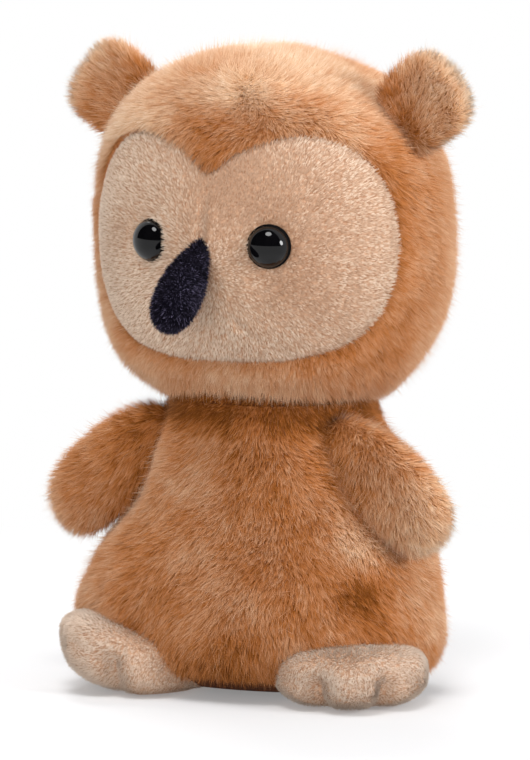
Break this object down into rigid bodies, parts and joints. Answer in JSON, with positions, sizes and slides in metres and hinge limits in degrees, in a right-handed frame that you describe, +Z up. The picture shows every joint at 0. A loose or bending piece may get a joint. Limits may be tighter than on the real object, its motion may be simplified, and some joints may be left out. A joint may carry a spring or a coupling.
{
  "type": "plush owl",
  "caption": "Small sitting stuffed toy bird with a round sprung head on a padded neck, soft bendable ears and wings, a sewn drop beak and a weighted flat base.",
  "frame": {"origin": "on the floor, on the flat base panel under the belly", "axes": "+Z up, -Y the way that the owl faces, +X towards the owl's own left side"},
  "size_m": [0.1048, 0.092, 0.1459],
  "materials": {
    "tan_fur": "short plush fur, orange brown at the roots and paler at the tips",
    "beige_velour": "very short pile velour",
    "navy_velour": "very short pile velour",
    "eye_plastic": "polished",
    "washer_plastic": "moulded",
    "stuffing": "fibre filling",
    "pouch_cloth": "plain woven cloth",
    "pellet_plastic": "small loose beads, as one mass"
  },
  "bodies": {
    "body": {"body_cover": "tan_fur", "base_panel": "tan_fur", "body_fill": "stuffing", "pellet_pouch": "pouch_cloth", "pellets": "pellet_plastic", "left_foot_cover": "beige_velour", "left_foot_fill": "stuffing", "right_foot_cover": "beige_velour", "right_foot_fill": "stuffing"},
    "neck": {"neck_fill": "stuffing"},
    "head": {"head_cover": "tan_fur", "face_panel": "beige_velour", "head_fill": "stuffing", "beak_cover": "navy_velour", "beak_fill": "stuffing", "left_eye": "eye_plastic", "left_eye_washer": "washer_plastic", "right_eye": "eye_plastic", "right_eye_washer": "washer_plastic"},
    "left_ear": {"left_ear_front": "tan_fur", "left_ear_back": "tan_fur"},
    "right_ear": {"right_ear_front": "tan_fur", "right_ear_back": "tan_fur"},
    "left_wing": {"left_wing_cover": "tan_fur", "left_wing_fill": "stuffing"},
    "right_wing": {"right_wing_cover": "tan_fur", "right_wing_fill": "stuffing"}
  },
  "joints": [
    {"name": "head_turn", "type": "hinge", "parent": "body", "child": "neck", "pos_m": [0, 0.008, 0.05675], "axis": [0, 0, 1], "range_deg": [-20, 20], "stiffness_Nm_per_rad": 0.3},
    {"name": "head_nod", "type": "hinge", "parent": "neck", "child": "head", "pos_m": [0, 0.008, 0.05675], "axis": [1, 0, 0], "range_deg": [-8, 8], "stiffness_Nm_per_rad": 0.4},
    {"name": "left_ear_bend", "type": "hinge", "parent": "head", "child": "left_ear", "pos_m": [0.03522, 0.007, 0.13117], "axis": [0.6225, 0, -0.7826], "range_deg": [-12, 12], "stiffness_Nm_per_rad": 0.01},
    {"name": "right_ear_bend", "type": "hinge", "parent": "head", "child": "right_ear", "pos_m": [-0.03522, 0.007, 0.13117], "axis": [0.6225, 0, 0.7826], "range_deg": [-12, 12], "stiffness_Nm_per_rad": 0.01},
    {"name": "left_wing_lift", "type": "hinge", "parent": "body", "child": "left_wing", "pos_m": [0.0243, -0.0045, 0.0573], "axis": [0, -1, 0], "range_deg": [-8, 20], "stiffness_Nm_per_rad": 0.03},
    {"name": "right_wing_lift", "type": "hinge", "parent": "body", "child": "right_wing", "pos_m": [-0.0243, -0.0045, 0.0573], "axis": [0, 1, 0], "range_deg": [-8, 20], "stiffness_Nm_per_rad": 0.03}
  ]
}
